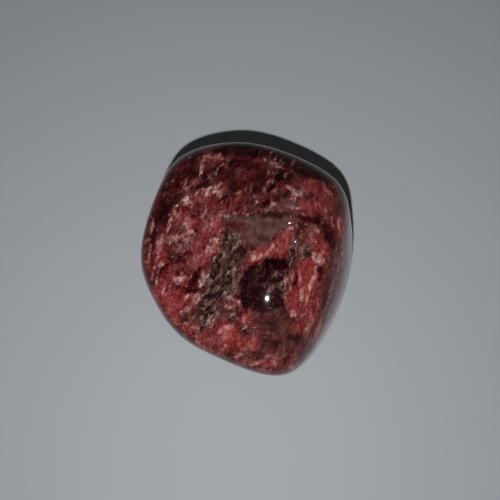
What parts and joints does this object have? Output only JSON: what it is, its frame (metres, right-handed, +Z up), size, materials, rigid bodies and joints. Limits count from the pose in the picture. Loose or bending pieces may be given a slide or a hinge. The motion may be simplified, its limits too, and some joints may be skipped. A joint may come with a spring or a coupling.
{
  "type": "tumbled thulite stone",
  "caption": "Polished, tumbled pebble of red thulite rock with rounded old faces, resting on a small flat; a loose stone to hold or display.",
  "frame": {"origin": "on the surface that the stone rests on, under the middle of its box and inside its resting flat", "axes": "+X across the stone, +Y along its longest way, +Z up from the resting flat"},
  "size_m": [0.0272, 0.0288, 0.0192],
  "materials": {
    "thulite": "polished"
  },
  "bodies": {
    "root": {"thulite_stone": "thulite"}
  },
  "joints": []
}
